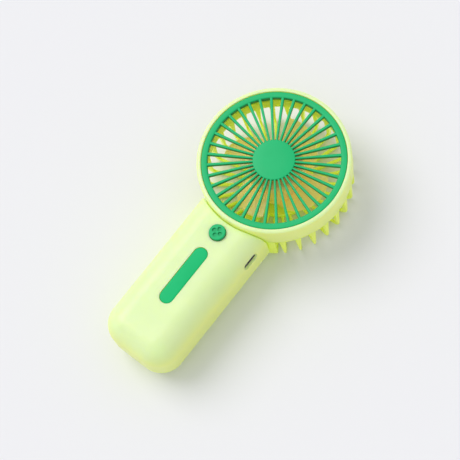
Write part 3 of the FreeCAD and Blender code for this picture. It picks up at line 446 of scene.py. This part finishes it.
def fin_path():
    """The middle line of a fin in radius and height, and its outward normal: straight along the
    floor, a quarter circle, then straight up the wall."""
    middle = FIN_BEND - GUARD_WALL / 2
    corner = GUARD_RADIUS - 0.05 - FIN_BEND
    turn = np.linspace(-math.pi / 2, 0, FIN_STEPS)
    floor = np.linspace(HUB_RADIUS - 1.2, corner, FIN_STEPS)[:-1]
    wall = np.linspace(FIN_BEND, FIN_TOP, FIN_STEPS)[1:]
    radius = np.concatenate([floor, corner + middle * np.cos(turn), np.full_like(wall, corner + middle)])
    height = np.concatenate([np.full_like(floor, GUARD_WALL / 2), FIN_BEND + middle * np.sin(turn), wall])
    angle = np.concatenate([np.full_like(floor, -math.pi / 2), turn, np.zeros_like(wall)])
    return radius, height, np.cos(angle), np.sin(angle)


def add_fins(guard):
    """Tapering fins all round; beside the handle, where the solid wall is, only their floor part."""
    radius, height, out, down = fin_path()
    width = np.interp(height, [FIN_BEND, SHOULDER_LOW], [1.3, 3.2])
    across, up = soft_section(width, GUARD_WALL, 0.42)
    fin = np.stack([radius[:, None] + out[:, None] * up, across, height[:, None] + down[:, None] * up], -1)
    angles = np.radians(360 / FINS * (np.arange(FINS) + 0.5) - 90)
    from_handle = np.abs((np.degrees(angles) + 270) % 360 - 180)
    for copy in spun(fin, angles[from_handle > WALL_HALF_ANGLE]):
        guard.add(copy)
    floor_part = fin[radius < FLOOR_BORE + 0.8]
    for copy in spun(floor_part, angles[from_handle < WALL_HALF_ANGLE]):
        guard.add(copy)


def add_rounds(guard):
    """The turned parts of the guard: the wall beside the handle, the rim with its spigot, the hub."""
    wall_bore = GUARD_RADIUS - GUARD_WALL
    wall = rounded(
        [(GUARD_RADIUS, FIN_TOP), (GUARD_RADIUS, 0), (FLOOR_BORE, 0), (FLOOR_BORE, GUARD_WALL),
         (wall_bore, GUARD_WALL), (wall_bore, FIN_TOP)],
        [0.1, FIN_BEND, 0.4, 0.4, FIN_BEND - GUARD_WALL, 0.1], 9)
    wall_angles = np.linspace(-90 - WALL_HALF_ANGLE, -90 + WALL_HALF_ANGLE, 61)
    guard.add(lathe(wall, np.radians(wall_angles)))
    spigot_bore = GRILLE_RADIUS - 1.5
    spigot_top = RING_LOW + 5.5
    rim = rounded(
        [(spigot_bore, SHOULDER_LOW), (GUARD_RADIUS, SHOULDER_LOW), (GUARD_RADIUS, RING_LOW),
         (GRILLE_RADIUS, RING_LOW), (GRILLE_RADIUS, spigot_top), (spigot_bore, spigot_top)],
        [0.3, 0.4, 0.35, 0.05, 0.3, 0.3])
    guard.add(lathe(rim, full_turn(ROUND_STEPS)), wrap_rows=True)
    hub = rounded(
        [(3, CAP_SEAT_DEPTH), (CAP_SEAT_RADIUS, CAP_SEAT_DEPTH), (CAP_SEAT_RADIUS, 0),
         (HUB_RADIUS, 0), (HUB_RADIUS, HUB_FLOOR), (3, HUB_FLOOR)],
        [CENTRE, 0.05, 0.25, 0.5, 0.4, CENTRE])
    hub = np.concatenate([[(0, CAP_SEAT_DEPTH)], hub, [(0, HUB_FLOOR)]])
    guard.add(lathe(hub, full_turn(ROUND_STEPS)), wrap_rows=True)


# The neck's tongue and flange: half width, lowest and highest height, and the two ends along Y
NECK_BLOCKS = ((12.0, 4.5, 19.5, -43.1, -37.4), (13.5, 3.0, 21.0, -42.9, -41.4))
# The channel for the leads, in section
TROUGH = ((-3, 0.05), (3, 0.05), (3, 8.6), (2, 8.6), (2, 4), (-2, 4), (-2, 8.6), (-3, 8.6))
TROUGH_ENDS = (-37.5, -17.2)


def make_guard():
    """The rear cup: fins, turned parts, and sections carried straight along Y for the neck and
    the channel of the leads."""
    guard = Piece()
    add_fins(guard)
    add_rounds(guard)
    for half_wide, low, high, near, far in NECK_BLOCKS:
        station = np.array([near, far])[:, None]
        wide, tall = soft_section(np.full(2, 2 * half_wide), high - low, 0.5)
        guard.add(np.stack([wide, np.broadcast_to(station, wide.shape), (low + high) / 2 + tall], -1))
    trough = rounded(TROUGH, [0.3, 0.3, 0.2, 0.2, 0.3, 0.3, 0.2, 0.2])
    shape = (len(TROUGH_ENDS), len(trough))
    guard.add(np.stack([np.broadcast_to(trough[:, 0], shape),
                        np.broadcast_to(np.array(TROUGH_ENDS)[:, None], shape),
                        np.broadcast_to(trough[:, 1], shape)], -1))
    guard.finish("rear_cage", "fan_body", ["rear_guard"], guard_lime_painted_bounce, "lime_plastic")


CUP_RADIUS = 14.5
CUP_BORE = 13
CUP_LOW = 10.6
CUP_TOP = 30.6
CUP_FLOOR = 28.8
BLADES = 4
BLADE_RADIUS = 28.5
BLADE_START = 40.0
BLADE_SPAN = 74.0
BLADE_LOW = 12.4
BLADE_RISE = 14.6
BLADE_HALF_THICK = 0.6
TIP_STEPS = 18


def make_impeller():
    """The impeller: a hub cup, and blades that climb from a cut-back leading edge.

    Along a blade's span s, the angle and height grow evenly; its reach is full but for a power of
    what is left of the span, and a little at its end. Across it, t goes from the cup to the tip
    along the top and back below, and the thickness fades at the two edges and at the tip."""
    impeller = Piece()
    cup = rounded(
        [(3, CUP_FLOOR), (CUP_BORE, CUP_FLOOR), (CUP_BORE, CUP_LOW), (CUP_RADIUS, CUP_LOW),
         (CUP_RADIUS, CUP_TOP), (3, CUP_TOP)],
        [CENTRE, 0.8, 0.2, 0.3, 1.5, CENTRE])
    cup = np.concatenate([[(0, CUP_FLOOR)], cup, [(0, CUP_TOP)]])
    impeller.add(lathe(cup, full_turn(ROUND_STEPS)), wrap_rows=True)
    s = np.linspace(0, 1, 40)[:, None]
    t = np.concatenate([np.linspace(0, 1, TIP_STEPS), np.linspace(1, 0, TIP_STEPS)[1:]])[None]
    side = np.concatenate([np.ones(TIP_STEPS), -np.ones(TIP_STEPS - 1)])[None]
    reach = BLADE_RADIUS * (1 - 0.46 * (1 - s) ** 2.2 - 0.04 * s ** 8)
    root = CUP_RADIUS - 0.5
    radius = root + t * (reach - root)
    edge = np.sqrt(np.clip(1 - (2 * s - 1) ** 12, 0.02, 1))
    thick = BLADE_HALF_THICK * edge * np.sqrt(np.clip(1 - t ** 8, 0, 1))
    height = BLADE_LOW + BLADE_RISE * s - 0.5 * t ** 2 + side * thick
    angle = np.radians(BLADE_START + BLADE_SPAN * s)
    blade = np.stack([radius * np.cos(angle), radius * np.sin(angle), height], -1)
    for copy in spun(blade, full_turn(BLADES)):
        impeller.add(copy)
    impeller.finish("blade_wheel", "rotor", ["impeller"], peach, "blade_plastic")


# ---------------------------------------------------------------- the handle's visible pieces

WINDOW_RADIUS = 3.7
WINDOW_STRAIGHT = 13.3  # from the window's middle to the centres of its round ends
WINDOW_EDGE = 0.55
FLANGE_TOP = 31.7


def make_light_window():
    """The long window: outlines with round ends, drawn in step by step as they rise, so that its
    edge is a quarter circle and its face a shallow crown; a wider flange lies below."""
    window = Piece()
    low, high = corners_of("light_lens")
    middle, face = (low.y + high.y) / 2, high.z
    turn = full_turn(96)
    straight = np.where(np.sin(turn) >= 0, WINDOW_STRAIGHT, -WINDOW_STRAIGHT)
    bend = np.linspace(0, math.pi / 2, 8)
    inset = np.concatenate([
        [-1.2, -1.2, 0.0], WINDOW_EDGE * (1 - np.cos(bend)), [1.4, 2.4, 3.2, WINDOW_RADIUS - 0.02]])
    height = np.concatenate([
        [FLANGE_TOP - 1.2, FLANGE_TOP - 0.05, FLANGE_TOP],
        face - 0.62 + WINDOW_EDGE * np.sin(bend),
        face - np.array([0.04, 0.02, 0.005, 0.0])])
    radius = (WINDOW_RADIUS - inset)[:, None]
    window.add(np.stack([radius * np.cos(turn), middle + straight + radius * np.sin(turn),
                         np.broadcast_to(height[:, None], (len(height), len(turn)))], -1))
    window.finish("light_window", "fan_body", ["light_lens"], lens, "lens_plastic", 50.0)


make_ring()
make_grille()
make_guard()
make_impeller()
make_light_window()


# ---------------------------------------------------------------- floor, light and camera

FLOOR_HALF = 3.0  # metres


def make_floor():
    """A square plain floor at the height the fan rests on."""
    mesh = bpy.data.meshes.new("floor")
    corners = [(x * FLOOR_HALF, y * FLOOR_HALF, 0) for x, y in ((-1, -1), (1, -1), (1, 1), (-1, 1))]
    mesh.from_pydata(corners, [], [(0, 1, 2, 3)])
    floor = bpy.data.objects.new("floor", mesh)
    bpy.context.scene.collection.objects.link(floor)
    finish = Finish("floor_paper")
    mottle = finish.noise(3.0, 2.0)
    mesh.materials.append(finish.shade(
        Base_Color=finish.mix(mottle * 0.5, rgb(0.80, 0.80, 0.815), rgb(0.815, 0.815, 0.83)),
        Roughness=0.9))
    return floor


def add_light(name, strength, softness, azimuth, elevation, colour):
    """An even far light, softened over an angle, that comes from an azimuth and an elevation."""
    data = bpy.data.lights.new(name, "SUN")
    data.energy = strength
    data.angle = math.radians(softness)
    data.color = colour
    light = bpy.data.objects.new(name, data)
    turn, rise = math.radians(azimuth), math.radians(elevation)
    source = Vector((math.cos(turn) * math.cos(rise), math.sin(turn) * math.cos(rise), math.sin(rise)))
    light.rotation_euler = (-source).to_track_quat("-Z", "Y").to_euler()
    bpy.context.scene.collection.objects.link(light)


def add_camera(place, back, up, view_angle):
    """The camera at a place, from its backward and upward directions and its view's angle."""
    data = bpy.data.cameras.new("camera")
    data.angle = math.radians(view_angle)
    camera = bpy.data.objects.new("camera", data)
    back = Vector(back).normalized()
    up = Vector(up)
    up = (up - back * up.dot(back)).normalized()
    right = up.cross(back)
    turn = Matrix((right, up, back)).transposed()
    camera.matrix_world = Matrix.Translation(place) @ turn.to_4x4()
    bpy.context.scene.collection.objects.link(camera)
    bpy.context.scene.camera = camera


make_floor()
add_light("key", strength=1.5, softness=42.0, azimuth=184.0, elevation=54.0, colour=(1.0, 0.985, 0.975))
add_camera(place=(0.2266, -0.1799, 0.7521), back=(0.291, -0.181, 0.940), up=(-0.556, 0.767, 0.320),
           view_angle=17.0)

world = bpy.data.worlds.new("studio")
world.use_nodes = True
sky = world.node_tree.nodes["Background"]
sky.inputs["Color"].default_value = rgb(0.96, 0.97, 1.0)
sky.inputs["Strength"].default_value = 0.73
bpy.context.scene.world = world
bpy.context.scene.view_settings.view_transform = "Standard"
bpy.context.scene.view_settings.look = "None"
